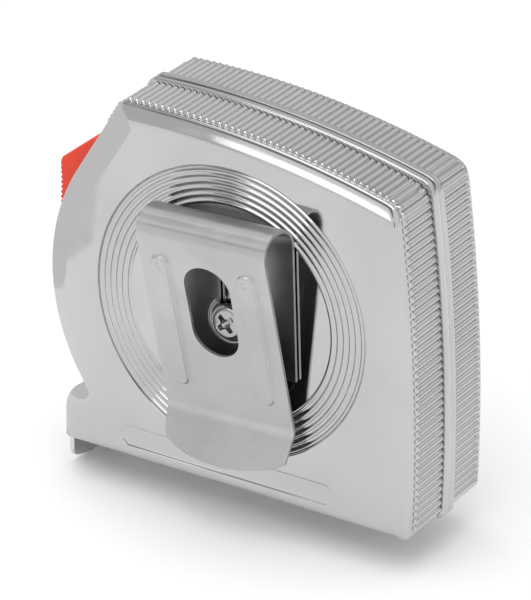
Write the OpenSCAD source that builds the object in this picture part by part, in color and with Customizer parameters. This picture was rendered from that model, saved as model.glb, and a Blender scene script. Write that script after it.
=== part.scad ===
// Pocket tape measure, 3 m by 16 mm, with a plated case, a belt clip and a sliding lock.
// Frame: +Z up, -X is the mouth, -Y is the clip side. The two shells part at Y = 0.
// The origin is on the case's flat bottom, under the centre of the dial on each side.

/* [Case] */
// Thickness of the closed case, across both shells
case_t = 22; // [22:0.5:24]
// Radius of the round nose, about the spool's axis
nose_r = 33.7; // [33.5:0.1:33.9]
// Height of the dial's centre over the flat bottom
dial_z = 30.25; // [30:0.05:30.5]
// Wall thickness of both shells
wall = 1.8; // [1.6:0.1:1.8]
// Width of the shallow bevel around each flat side
bevel_w = 2.6; // [1.5:0.1:3]
// Depth of that bevel
bevel_d = 0.9; // [0.6:0.1:1.2]
// Number of grip ridges along the top
top_ridges = 42; // [30:1:44]
// Number of grip ridges down the back
back_ridges = 43; // [30:1:46]
// Height of the grip ridges
ridge_h = 0.45; // [0.3:0.05:0.5]

/* [Dial rings] */
// Number of raised rings on each side
ring_count = 6; // [3:1:6]
// Radius of the smallest ring
ring_r = 18.2; // [18:0.1:18.4]
// Distance from ring to ring
ring_pitch = 1.06; // [0.9:0.01:1.1]

/* [Spool] */
// Distance of the spool's axis behind the dial's centre
spool_x = 0.6; // [0.5:0.1:0.7]
// Height of the spool's axis over the flat bottom
spool_z = 29.4; // [29.3:0.1:29.5]
// Outer radius of the spool's barrel
barrel_r = 17.5; // [16.5:0.1:18]
// Outer radius of the wound blade
coil_r = 22; // [20:0.1:22.2]
// Radius of the centre post
post_r = 3.5; // [3.3:0.1:3.6]

/* [Blade and hook] */
// Width of the blade
blade_w = 16; // [15:0.5:16]
// Thickness of the blade
blade_t = 0.2; // [0.15:0.05:0.3]
// Radius of the blade's hollow cross section
blade_curve = 14; // [13:0.5:20]
// Free play of the end hook along the blade
hook_play = 0.4; // [0.3:0.1:0.8]
// Width of the end hook's lip
hook_w = 14; // [13.5:0.5:15]
// How far the hook's lip reaches below the case
hook_drop = 6.4; // [4:0.1:7]

/* [Lock] */
// Angle that the lock slides around the nose
lock_deg = 8; // [6:1:8]
// Width of the lock's thumb button
button_w = 11; // [9:0.5:12]

/* [Belt clip] */
// Width of the belt clip
clip_w = 22.7; // [20:0.1:24]
// Thickness of the clip's spring steel
clip_t = 0.5; // [0.4:0.1:0.7]
// Angle that the clip is turned on its screw
clip_turn = 2.4; // [0:0.1:4]

/* [Hidden] */
$fn = 72;

half_t = case_t / 2;
inner_y = half_t - wall;
face_cut = 0.3;
nose_centre = [spool_x, spool_z];
dial_centre = [0, dial_z];
front_x = -30.7;
bottom_r = 1.2;
lip_lift = 0.35;
lip_y = 1.5;
screw_places = [[-13.5, 53.75], [23.6, 49.3], [26.2, 10.6]];
boss_r = 3.2;

spool_y = 8.1;
washer_y = 8.2;
washer_t = 0.3;
coil_y = blade_w / 2;

blade_z = 3.8;
blade_front = front_x - 0.08;
blade_back = 27;
hook_t = 0.8;
lip_x = front_x - hook_play - 0.13;
rivet_places = [-27.3, -23.2];

clip_face = -half_t;
fold_top = [-15.4, 47.8];
crease_top = [-19.3, 44.8];
crease_low = [-12.1, 13.2];
clip_tip = [-15.1, 5.8];

// ---- outlines, as points in X and Z ----

function unit(v) = v / norm(v);
function reversed(p) = [for (i = [len(p) - 1:-1:0]) p[i]];

// Points along an arc about c, from angle a0 to a1, in n steps
function arc(c, r, a0, a1, n) =
    [for (i = [0:n]) c + r * [cos(a0 + (a1 - a0) * i / n), sin(a0 + (a1 - a0) * i / n)]];

// The unit vector to the right of the line from p to q
function right_of(p, q) = let (d = unit(q - p)) [d[1], -d[0]];

// Points from p to q along a shallow bow that rises to its right, with n ridges of height h on it
function bow(p, q, rise, n, h) =
    [for (i = [0:4 * n])
        let (t = i / (4 * n))
        p + (q - p) * t + right_of(p, q) * (4 * rise * t * (1 - t) + h * abs(sin(45 * i)))];

// Angle, about the nose's centre, at which the nose turns into its straight upper flank
flank_deg = 150;
floor_deg = 180 + asin(spool_z / nose_r);
flank_ridges = 5;

// The case without its mouth; lift moves the top and the back outward, and h raises ridges on them
function body_points(lift, h) = concat(
    arc([31.5 + lift, bottom_r], bottom_r, -90, -10, 5),
    bow([32.7 + lift, bottom_r], [29.2 + lift, 54.4 + lift], 1.2, back_ridges, h),
    arc([28.2 + lift, 54.25 + lift], 0.95, 12, 72, 4),
    bow([28 + lift, 55.3 + lift], [-19.75, 60.6 + lift], 1.85, top_ridges, h),
    arc([-19.6, 59.4 + lift], 1.2, 105, 148, 4),
    bow([-20.72, 59.88 + lift], [-22.98, 55.96 + 0.8 * lift], 0, flank_ridges, 0.8 * h),
    arc(nose_centre, nose_r, flank_deg, floor_deg, 36)
);

function mouth_points() = concat(
    arc([-25.2, 5.2], -front_x - 25.2, 115, 180, 8),
    arc([front_x + 1, 1], 1, 180, 270, 5),
    [[-10, 0], [-10, 14], [-26.5, 11.6]]
);

// A band of thickness t along the points p
function along(p, i) = unit(p[min(i + 1, len(p) - 1)] - p[max(i - 1, 0)]);
function beside(p, d) = [for (i = [0:len(p) - 1]) p[i] + d * [-along(p, i)[1], along(p, i)[0]]];
function band(p, t) = concat(beside(p, t / 2), reversed(beside(p, -t / 2)));

// The blade's hollow cross section, in Y and Z, at a given depth under the blade's middle
function hollow(depth, half_w, n) =
    let (r = blade_curve + depth, a = asin(half_w / r))
    arc([0, blade_z + blade_t / 2 + blade_curve], r, -90 - a, -90 + a, n);

// ---- helpers ----

// Extrudes an outline in X and Z from y0 to y1
module slab(y0, y1) {
    translate([0, y1, 0]) rotate([90, 0, 0]) linear_extrude(height = y1 - y0) children();
}

// Extrudes an outline in Y and Z from x0 to x1
module across(x0, x1) {
    translate([x0, 0, 0]) rotate([90, 0, 90]) linear_extrude(height = x1 - x0) children();
}

// A round bar along Y at the place p in X and Z
module bar(p, r, y0, y1) {
    translate([p[0], y1, p[1]]) rotate([90, 0, 0]) cylinder(r = r, h = y1 - y0);
}

module tube(p, r_out, r_in, y0, y1) {
    difference() {
        bar(p, r_out, y0, y1);
        bar(p, r_in, y0 - 1, y1 + 1);
    }
}

// A sector of a ring about the nose's centre
module sector(r_in, r_out, a0, a1, half_w) {
    slab(-half_w, half_w)
        polygon(concat(arc(nose_centre, r_out, a0, a1, 24), arc(nose_centre, r_in, a1, a0, 24)));
}

module on_side(side) {
    if (side < 0) children();
    else mirror([0, 1, 0]) children();
}

// ---- the case ----

module case_outline() {
    polygon(body_points(-ridge_h, 0));
    polygon(mouth_points());
}

// A convex outline from the parting plane to the bevelled clip side
module bevelled(points) {
    hull() {
        slab(-half_t + bevel_d, 0) polygon(points);
        slab(-half_t, -1) offset(delta = -bevel_w) polygon(points);
    }
}

// Cuts the sunk dial with its raised rings into the clip side
module dial_cut() {
    rings = [for (i = [0:ring_count - 1]) ring_r + i * ring_pitch];
    rim = rings[ring_count - 1] + ring_pitch / 2;
    zigzag = [for (r = rings) each [[r - 0.32, face_cut], [r, 0], [r + 0.32, face_cut]]];
    translate([dial_centre[0], -half_t, dial_centre[1]]) rotate([-90, 0, 0])
        rotate_extrude() polygon(concat([[0, -1], [0, face_cut]], zigzag, [[rim, face_cut], [rim, -1]]));
}

// A shallow long panel with pointed ends, low on the side
module panel_cut() {
    slab(-half_t - 1, -half_t + face_cut)
        polygon([[-20.4, 4.1], [-18.5, 2.15], [17.7, 2.15], [19.6, 4.1], [17.7, 5.9], [-18.5, 5.9]]);
}

// What both shells share, drawn on the clip side
module shell_half() {
    difference() {
        union() {
            bevelled(body_points(-ridge_h, 0));
            bevelled(mouth_points());
            slab(-half_t + 1.5, -lip_y) polygon(body_points(-ridge_h, ridge_h));
            slab(-lip_y, 0) polygon(body_points(lip_lift, 0));
        }
        slab(-inner_y, 1) offset(delta = -wall) case_outline();
        dial_cut();
        panel_cut();
        translate([front_x - 2, -8.4, 2.3]) cube([8, 16.8, 4.7]);
        sector(nose_r - 3, nose_r + 3, 152, 174 + lock_deg, 4.2);
    }
    tube([spool_x, spool_z], 6.5, post_r + 0.05, -inner_y, -washer_y - washer_t);
}

module rear_shell() {
    color("gainsboro") {
        difference() {
            shell_half();
            bar([spool_x, spool_z], 1.7, -half_t - 1, 0);
        }
        for (p = screw_places) tube(p, boss_r, 1.15, -inner_y, 0);
    }
}

module front_shell() {
    color("gainsboro") difference() {
        union() {
            on_side(1) shell_half();
            for (p = screw_places) bar(p, boss_r, 0, inner_y);
        }
        for (p = screw_places) {
            bar(p, 1.3, -1, half_t);
            bar(p, 2.7, inner_y - 0.2, half_t + 1);
        }
        bar([spool_x, spool_z], 1.7, 0, half_t);
        translate([spool_x, half_t - face_cut, spool_z]) rotate([90, 0, 0])
            cylinder(r1 = 2.9, r2 = 1.5, h = 1.4);
    }
}

module label_disc() {
    color("white") bar(dial_centre, 17.2, half_t - face_cut, half_t - 0.05);
}

// A cross-slotted screw along Y; its head starts at y = 0 and faces -Y
module cross_screw(head_r, head_h, shank_r, shank_h) {
    difference() {
        union() {
            rotate([90, 0, 0]) cylinder(r = head_r, h = head_h);
            rotate([-90, 0, 0]) cylinder(r = shank_r, h = shank_h);
        }
        for (a = [45, 135]) rotate([0, a, 0])
            translate([-head_r * 0.6, -head_h - 1, -0.35]) cube([head_r * 1.2, 1.9, 0.7]);
    }
}

module case_screws() {
    color("silver") for (p = screw_places)
        translate([p[0], inner_y - 0.2, p[1]]) mirror([0, 1, 0]) cross_screw(2.5, 1.7, 1.1, 15);
}

module mouth_plate() {
    color("silver") translate([-28, -7.8, wall]) cube([12.5, 15.6, 0.35]);
}

// ---- the belt clip ----

// Turns what is drawn upright by the clip's own angle about its screw
module turned() {
    translate([spool_x, 0, spool_z]) rotate([0, -clip_turn, 0]) translate([0, 0, -spool_z]) children();
}

// A keyhole or window outline: a slot of radius r from z0 up to z1
module slot_2d(r, z0, z1) {
    translate([0, z0]) circle(r);
    translate([0, z1]) circle(r);
    translate([-r, z0]) square([2 * r, z1 - z0]);
}

// Inner leaf and the inner half of the fold
module clip_base() {
    inner = clip_face - clip_t / 2;
    path = concat([[inner, 22], [inner, 44.6]], [[-11.7, 45.6], [-12.5, 46.6], [-13.6, 47.4], [-14.9, 47.78]]);
    color("darkgray") turned() {
        difference() {
            across(-clip_w / 2, clip_w / 2) polygon(band(path, clip_t));
            slab(clip_face - 2, clip_face + 1) {
                slot_2d(1.9, spool_z, 38);
                translate([0, 39.6]) circle(3.3);
            }
        }
        difference() {
            tube([0, spool_z], 3.9, 3.2, clip_face - clip_t - 0.35, clip_face - clip_t);
            translate([-1.9, clip_face - 3, spool_z]) cube([3.8, 3, 5]);
        }
    }
}

// Outer leaf with its window and two stiffening ribs; it flexes about the top of the fold
module clip_leaf() {
    path = [fold_top, [-16.9, 47.75], [-18.3, 47], [-19.1, 46], crease_top, crease_low, clip_tip];
    lean = atan((crease_low[0] - crease_top[0]) / (crease_top[1] - crease_low[1]));
    color("darkgray") turned() {
        difference() {
            intersection() {
                union() {
                    across(-clip_w / 2, clip_w / 2) polygon(band(path, clip_t));
                    translate([-clip_w / 2, fold_top[0], fold_top[1]]) rotate([0, 90, 0])
                        cylinder(r = clip_t / 2, h = clip_w);
                }
                slab(clip_face - 10, clip_face) polygon(concat(
                    [[-clip_w / 2, 60], [-clip_w / 2, 8.6]],
                    arc([0, 28.4], 23, 240.5, 299.5, 16),
                    [[clip_w / 2, 8.6], [clip_w / 2, 60]]));
            }
            slab(clip_face - 10, clip_face - 1) slot_2d(4.1, 28.8, 36.9);
        }
        for (x = [-7.9, 7.4])
            translate([x, crease_top[0], crease_top[1]]) rotate([lean, 0, 0])
                slab(-clip_t / 2 - 0.3, -clip_t / 2 + 0.2) slot_2d(1.4, -26, -5.5);
    }
}

module clip_screw() {
    color("silver") turned()
        translate([0, clip_face - clip_t - 0.01, spool_z]) cross_screw(2.9, 1.7, 1.5, 9.5);
}

// ---- the spool ----

module centre_post() {
    axis = [spool_x, spool_z];
    color("darkkhaki") difference() {
        bar(axis, post_r, -inner_y, inner_y);
        bar(axis, 1.55, -inner_y - 1, -1.5);
        bar(axis, 1.55, 1.5, inner_y + 1);
        translate([spool_x - 0.3, -7, spool_z]) cube([0.6, 14, 5]);
    }
}

module post_screw() {
    color("silver") translate([spool_x, 0, spool_z]) {
        translate([0, half_t - face_cut - 0.05, 0]) rotate([90, 0, 0]) cylinder(r1 = 2.75, r2 = 1.5, h = 1.3);
        translate([0, half_t - face_cut - 1.3, 0]) rotate([90, 0, 0]) cylinder(r = 1.5, h = 7);
    }
}

module thrust_washers() {
    color("ivory") for (s = [-1, 1])
        tube([spool_x, spool_z], 6.4, post_r + 0.1, min(s * washer_y, s * (washer_y + washer_t)),
             max(s * washer_y, s * (washer_y + washer_t)));
}

module spool_drum() {
    axis = [spool_x, spool_z];
    color("dimgray") {
        difference() {
            tube(axis, barrel_r, barrel_r - 1.3, -spool_y, spool_y);
            translate([spool_x - 0.4, -7, spool_z + barrel_r - 3]) cube([0.8, 14, 5]);
        }
        tube(axis, barrel_r - 1, post_r + 0.08, -spool_y, -spool_y + 0.9);
    }
}

module spool_cover() {
    color("gray") tube([spool_x, spool_z], barrel_r - 1.35, post_r + 0.08, spool_y - 0.9, spool_y);
}

// A spiral strip between the post and the barrel
module power_spring() {
    turns = 9;
    steps = 20;
    r_in = post_r + 0.7;
    r_out = barrel_r - 1.8;
    path = [for (i = [0:turns * steps])
        let (a = 360 * i / steps, r = r_in + (r_out - r_in) * i / (turns * steps))
        [spool_x + r * cos(a), spool_z + r * sin(a)]];
    color("steelblue") slab(-7, 7) polygon(band(path, 0.3));
}

module blade_coil() {
    color("gold") tube([spool_x, spool_z], coil_r, barrel_r + 0.02, -coil_y, coil_y);
}

// ---- the blade's free end ----

module blade() {
    color("gold") difference() {
        across(blade_front, blade_back) polygon(band(hollow(0, blade_w / 2, 16), blade_t));
        for (x = rivet_places) translate([x, 0, 0]) cylinder(r = 1.02, h = 8);
    }
}

module hook_rivets() {
    color("goldenrod") for (x = rivet_places) translate([x, 0, 0]) {
        translate([0, 0, blade_z - 1.2]) cylinder(r = 1, h = 1.9);
        translate([0, 0, blade_z + blade_t + 0.1]) cylinder(r = 1.6, h = 0.4);
        translate([0, 0, blade_z - 1.25]) cylinder(r = 1.6, h = 0.35);
    }
}

module end_hook() {
    half_w = hook_w / 2;
    corner_r = 1.5;
    foot_r = 18;
    corner_z = foot_r - hook_drop - sqrt(pow(foot_r - corner_r, 2) - pow(half_w - corner_r, 2));
    edge = acos((half_w - corner_r) / (foot_r - corner_r));
    lip_top = hollow(-blade_t / 2, half_w, 12);
    tongue_depth = blade_t / 2 + 0.05 + hook_t / 2;
    color("silver") {
        across(lip_x - hook_t, lip_x)
            polygon(concat(lip_top,
                arc([half_w - corner_r, corner_z], corner_r, 0, -edge, 5),
                arc([0, foot_r - hook_drop], foot_r, -edge - 2, edge - 178, 12),
                arc([corner_r - half_w, corner_z], corner_r, edge - 180, -180, 5)));
        difference() {
            across(lip_x, -20.5) polygon(band(hollow(tongue_depth, 6.5, 12), hook_t));
            for (x = rivet_places) translate([x, 0, 0]) {
                cylinder(r = 1.05, h = 8);
                translate([-hook_play, 0, 0]) cylinder(r = 1.05, h = 8);
                translate([-hook_play, -1.05, 0]) cube([hook_play, 2.1, 8]);
            }
        }
    }
}

// ---- the lock ----

// Turns what is drawn in the locked place back to the free place
module released() {
    translate([nose_centre[0], 0, nose_centre[1]]) rotate([0, lock_deg, 0])
        translate([-nose_centre[0], 0, -nose_centre[1]]) children();
}

module lock_button() {
    tip = [-34.45, 45.2];
    tooth = 0.85;
    teeth = [for (i = [0:10]) each
        [[tip[0], tip[1] - 0.3 - i * tooth], [tip[0] + 0.35, tip[1] - 0.6 - i * tooth]]];
    color("tomato") {
        slab(-button_w / 2, button_w / 2) polygon(concat(
            [[-25.95, 51.95], tip], teeth, [[-33.9, 33.5]],
            arc(nose_centre, nose_r + 0.45, 184, 147, 14), [[-26.35, 51]]));
        sector(nose_r - 2.1, nose_r + 0.6, 153, 173, 4);
        sector(nose_r - 3.7, nose_r - 2.1, 143, 184, 6);
    }
}

module brake_arm() {
    color("dimgray") {
        sector(nose_r - 5.1, nose_r - 3.75, 155, 228 - lock_deg, 4.5);
        released() translate([-20.4, -4.5, 6.8]) cube([4.4, 9, 2.2]);
    }
}

module brake_pad() {
    color("black") released() translate([-20.2, -3, 4.55]) cube([4, 6, 2.25]);
}

rear_shell();
front_shell();
label_disc();
case_screws();
mouth_plate();
clip_base();
clip_leaf();
clip_screw();
centre_post();
post_screw();
thrust_washers();
spool_drum();
spool_cover();
power_spring();
blade_coil();
blade();
hook_rivets();
end_hook();
lock_button();
brake_arm();
brake_pad();
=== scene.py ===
import math

import bmesh
import bpy
import numpy as np
from mathutils import Matrix, Vector
from mathutils.geometry import delaunay_2d_cdt


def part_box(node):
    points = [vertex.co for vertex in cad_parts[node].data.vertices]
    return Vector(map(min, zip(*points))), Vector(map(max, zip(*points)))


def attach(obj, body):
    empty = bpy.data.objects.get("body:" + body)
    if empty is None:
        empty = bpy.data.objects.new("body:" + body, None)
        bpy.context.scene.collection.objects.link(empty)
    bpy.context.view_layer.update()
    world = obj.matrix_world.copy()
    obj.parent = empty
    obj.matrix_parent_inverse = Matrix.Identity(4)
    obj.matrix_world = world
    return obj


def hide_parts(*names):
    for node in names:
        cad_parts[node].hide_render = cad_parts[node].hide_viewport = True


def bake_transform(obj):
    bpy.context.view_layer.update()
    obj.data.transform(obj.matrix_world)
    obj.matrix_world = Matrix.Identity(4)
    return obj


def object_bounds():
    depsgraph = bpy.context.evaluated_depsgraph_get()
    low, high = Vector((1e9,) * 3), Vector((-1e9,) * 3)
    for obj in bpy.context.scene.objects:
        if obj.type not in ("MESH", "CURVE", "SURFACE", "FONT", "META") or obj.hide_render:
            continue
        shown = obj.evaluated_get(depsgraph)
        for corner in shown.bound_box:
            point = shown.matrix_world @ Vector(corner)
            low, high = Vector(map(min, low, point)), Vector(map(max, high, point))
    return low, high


MM = 0.001

scene = bpy.context.scene
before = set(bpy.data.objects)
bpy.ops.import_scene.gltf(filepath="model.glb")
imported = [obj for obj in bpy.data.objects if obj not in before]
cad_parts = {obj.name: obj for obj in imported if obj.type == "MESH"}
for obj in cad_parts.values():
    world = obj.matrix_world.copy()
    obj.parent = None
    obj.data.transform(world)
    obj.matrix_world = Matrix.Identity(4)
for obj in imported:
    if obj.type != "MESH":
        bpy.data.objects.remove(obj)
cad_low, cad_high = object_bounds()


def look_dir(azimuth, elevation):
    """The direction at an azimuth, from -Y towards +X, and an elevation, in degrees."""
    a, e = math.radians(azimuth), math.radians(elevation)
    return Vector((math.sin(a) * math.cos(e), -math.cos(a) * math.cos(e), math.sin(e)))


def added(name, data):
    """A new object in the scene that holds data."""
    o = bpy.data.objects.new(name, data)
    scene.collection.objects.link(o)
    return o


# Depth of the flat clip side, centre of the dial, and the spool's axis with the round nose's radius, in mm.
FACE_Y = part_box("rear_shell")[0].y / MM
DIAL = (0.0, 30.25)
AXIS = (0.6, 29.4)
NOSE_R = 33.7

# ---------------------------------------------------------------- camera

SENSOR, FOCAL_PER_HEIGHT = 36.0, 8.085
VIEW_DISTANCE, AIM_RIGHT, AIM_UP = 0.73555, 0.005494, 0.001996


def make_camera():
    """A long lens that looks at the dial's centre, a little off to one side and slightly rolled."""
    azimuth, elevation, roll = 31.55, 26.25, math.radians(0.69)
    back = look_dir(azimuth, elevation)
    a = math.radians(azimuth)
    right0 = Vector((math.cos(a), math.sin(a), 0.0))
    up0 = back.cross(right0)
    right = right0 * math.cos(roll) + up0 * math.sin(roll)
    up = up0 * math.cos(roll) - right0 * math.sin(roll)
    aim = Vector((0.0, FACE_Y * MM, DIAL[1] * MM))
    data = bpy.data.cameras.new("camera")
    data.sensor_width = SENSOR
    data.lens = FOCAL_PER_HEIGHT * SENSOR
    data.clip_start, data.clip_end = 0.02, 20.0
    cam = added("camera", data)
    place = aim + right * AIM_RIGHT + up * AIM_UP + back * VIEW_DISTANCE
    turn = Matrix((right, up, back)).transposed().to_4x4()
    cam.matrix_world = Matrix.Translation(place) @ turn
    scene.camera = cam


make_camera()

# ---------------------------------------------------------------- materials


class Nodes:
    """Short calls for building one material's node tree."""

    def __init__(self, name):
        self.mat = bpy.data.materials.new(name)
        self.mat.use_nodes = True
        self.tree = self.mat.node_tree
        self.tree.nodes.clear()
        self.out = self.add("ShaderNodeOutputMaterial")
        self.shader = self.add("ShaderNodeBsdfPrincipled")
        self.link(self.shader.outputs["BSDF"], self.out.inputs["Surface"])
        self.coord = self.add("ShaderNodeTexCoord").outputs["Object"]

    def add(self, kind, **values):
        n = self.tree.nodes.new(kind)
        for key, value in values.items():
            setattr(n, key, value)
        return n

    def link(self, a, b):
        self.tree.links.new(a, b)

    def put(self, value, socket):
        if isinstance(value, bpy.types.NodeSocket):
            self.link(value, socket)
        else:
            socket.default_value = value

    def math(self, op, a, b=0.0, clamp=False):
        n = self.add("ShaderNodeMath", operation=op, use_clamp=clamp)
        self.put(a, n.inputs[0])
        self.put(b, n.inputs[1])
        return n.outputs[0]

    def feed(self, n, **values):
        """Puts values or links into the inputs of a node by name."""
        for key, value in values.items():
            self.put(value, n.inputs[key.replace("_", " ")])
        return n

    def stretch(self, scale):
        n = self.add("ShaderNodeMapping")
        return self.feed(n, Vector=self.coord, Scale=scale).outputs["Vector"]

    def noise(self, scale, detail=2.0, rough=0.5, vector=None):
        n = self.add("ShaderNodeTexNoise")
        self.feed(n, Vector=vector or self.coord, Scale=scale, Detail=detail, Roughness=rough)
        return n.outputs["Fac"]

    def span(self, value, low, high, a=0.35, b=0.65):
        n = self.add("ShaderNodeMapRange", interpolation_type="SMOOTHSTEP")
        self.feed(n, Value=value, From_Min=a, From_Max=b, To_Min=low, To_Max=high)
        return n.outputs["Result"]

    def mix(self, fac, a, b):
        n = self.add("ShaderNodeMix", data_type="RGBA")
        self.put(fac, n.inputs[0])
        self.put(a, n.inputs[6])
        self.put(b, n.inputs[7])
        return n.outputs[2]

    def bump(self, height, distance, below=None):
        n = self.feed(self.add("ShaderNodeBump"), Strength=1.0, Distance=distance, Height=height)
        if below is not None:
            self.link(below, n.inputs["Normal"])
        return n.outputs["Normal"]

    def set(self, **values):
        self.feed(self.shader, **values)

    def axes(self):
        n = self.add("ShaderNodeSeparateXYZ")
        self.link(self.coord, n.inputs[0])
        return [n.outputs[i] for i in range(3)]


def grey(v):
    return (v, v, v, 1.0)


def tone(color, k):
    return (*[min(1.0, c * k) for c in color[:3]], 1.0)


def metal(name, color, rough, cloud=0.06, grain=(2500.0, 0.000003), wave=(70.0, 0.0), brushed=None):
    """A metal with clouds in its colour and gloss, fine grain and, if asked, brushing or slow waves."""
    m = Nodes(name)
    clouds = m.noise(55.0, 3.0)
    m.set(
        Base_Color=m.mix(m.span(clouds, 0.0, 1.0), tone(color, 1 - cloud), tone(color, 1 + cloud)),
        Metallic=1.0,
    )
    marks = m.noise(260.0, 4.0, 0.6)
    m.set(Roughness=m.span(marks, rough[0], rough[1], 0.3, 0.75))
    vector = m.stretch(brushed) if brushed else None
    fine = m.noise(grain[0], 2.0, 0.6, vector)
    normal = m.bump(fine, grain[1])
    if wave[1]:
        normal = m.bump(m.noise(wave[0], 1.0, 0.4), wave[1], below=normal)
    m.set(Normal=normal)
    return m.mat


def plastic(name, color, rough=(0.35, 0.5), grain=(1800.0, 0.00001), cloud=0.05):
    """A moulded plastic with a fine spark texture and slight unevenness in colour."""
    m = Nodes(name)
    shade = m.span(m.noise(120.0, 3.0), 0.0, 1.0)
    m.set(
        Base_Color=m.mix(shade, tone(color, 1 - cloud), tone(color, 1 + cloud)),
        Roughness=m.span(m.noise(400.0, 3.0), rough[0], rough[1]),
        Normal=m.bump(m.noise(grain[0], 3.0, 0.6), grain[1]),
    )
    return m.mat


plated = metal("plated_case", (0.515, 0.515, 0.515), (0.055, 0.11), cloud=0.035,
               grain=(900.0, 0.0000008), wave=(48.0, 0.00006))
satin = metal("clip_steel", (0.485, 0.485, 0.487), (0.34, 0.44), cloud=0.055, grain=(2600.0, 0.00003))
# A darker copy of the clip steel for the strip's under side: painted shade for the dim inside of the fold,
# the gap between the leaves and the window.
satin_painted_shade = metal("clip_steel_inside", (0.27, 0.27, 0.272), (0.34, 0.46), cloud=0.06,
                     grain=(2600.0, 0.00002))
screw_steel = metal("screw_steel", (0.43, 0.43, 0.43), (0.2, 0.32), grain=(1500.0, 0.000004))
hook_steel = metal("hook_steel", (0.68, 0.68, 0.68), (0.22, 0.36),
                   grain=(2200.0, 0.000005), brushed=(1.0, 0.15, 1.0))
plate_steel = metal("plate_steel", (0.5, 0.5, 0.5), (0.3, 0.45),
                    grain=(2200.0, 0.000005), brushed=(0.15, 1.0, 1.0))
spring_steel = metal("spring_blue", (0.16, 0.20, 0.29), (0.2, 0.35), cloud=0.12,
                     grain=(1800.0, 0.000004), brushed=(1.0, 0.1, 1.0))
post_brass = metal("post_brass", (0.75, 0.56, 0.25), (0.18, 0.3), cloud=0.08)
rivet_brass = metal("rivet_brass", (0.78, 0.60, 0.30), (0.2, 0.35), cloud=0.1)
orange = plastic("lock_orange", (0.74, 0.045, 0.014), (0.5, 0.6), (1400.0, 0.000012), 0.04)
arm_plastic = plastic("arm_plastic", (0.035, 0.035, 0.038), (0.4, 0.55))
rubber = plastic("pad_rubber", (0.018, 0.018, 0.018), (0.7, 0.85), (900.0, 0.00004), 0.15)
spool_plastic = plastic("spool_plastic", (0.05, 0.05, 0.055), (0.4, 0.55))
cover_plastic = plastic("cover_plastic", (0.22, 0.22, 0.23), (0.4, 0.55))
nylon = plastic("nylon", (0.72, 0.70, 0.63), (0.35, 0.45))


def blade_material(name, start_mm, marked):
    """Yellow enamel on steel. The free end carries black graduations, the wound part only its lacquer."""
    m = Nodes(name)
    x, y, _ = m.axes()
    yellow = (0.80, 0.53, 0.035)
    paint = m.mix(m.span(m.noise(90.0, 3.0), 0.0, 1.0), tone(yellow, 0.93), tone(yellow, 1.05))
    if marked:
        along = m.math("SUBTRACT", m.math("MULTIPLY", x, 1 / MM), start_mm)
        across = m.math("MULTIPLY", m.math("ABSOLUTE", y), 1 / MM)
        ink = None
        for pitch, width, reach in ((1.0, 0.09, 6.1), (5.0, 0.10, 5.0), (10.0, 0.13, 3.6)):
            phase = m.math("DIVIDE", along, pitch)
            near = m.math("ABSOLUTE", m.math("SUBTRACT", m.math("FRACT", m.math("ADD", phase, 0.5)), 0.5))
            line = m.math("LESS_THAN", near, width / pitch)
            line = m.math("MULTIPLY", line, m.math("GREATER_THAN", across, reach))
            ink = line if ink is None else m.math("MAXIMUM", ink, line)
        paint = m.mix(ink, paint, (0.012, 0.012, 0.012, 1.0))
    else:
        rings = m.noise(4.0, 1.0, 0.5, m.stretch((1.0, 900.0, 1.0)))
        paint = m.mix(m.span(rings, 0.0, 0.35), paint, tone(yellow, 0.6))
    m.set(
        Base_Color=paint,
        Roughness=m.span(m.noise(300.0, 3.0), 0.22, 0.34),
        Normal=m.bump(m.noise(700.0, 2.0), 0.000004),
        Coat_Weight=0.4,
        Coat_Roughness=0.12,
    )
    return m.mat


def label_material(centre, radius):
    """White label stock with paper grain, an orange and a grey ring and a grey dot in the middle."""
    m = Nodes("label_white")
    x, _, z = m.axes()
    dx = m.math("SUBTRACT", x, centre[0] * MM)
    dz = m.math("SUBTRACT", z, centre[1] * MM)
    r = m.math("SQRT", m.math("ADD", m.math("MULTIPLY", dx, dx), m.math("MULTIPLY", dz, dz)))
    r = m.math("DIVIDE", r, radius * MM)

    def ring(inner, outer):
        return m.math("MULTIPLY", m.math("GREATER_THAN", r, inner), m.math("LESS_THAN", r, outer))

    paper = m.mix(m.span(m.noise(160.0, 4.0), 0.0, 1.0), grey(0.78), grey(0.84))
    paper = m.mix(ring(0.86, 0.93), paper, (0.70, 0.08, 0.035, 1.0))
    paper = m.mix(ring(0.80, 0.83), paper, grey(0.16))
    paper = m.mix(ring(0.0, 0.10), paper, grey(0.45))
    m.set(
        Base_Color=paper,
        Roughness=m.span(m.noise(500.0, 3.0), 0.34, 0.46),
        Normal=m.bump(m.noise(1600.0, 3.0, 0.6), 0.000006),
    )
    return m.mat


# ---------------------------------------------------------------- mesh helpers


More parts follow.
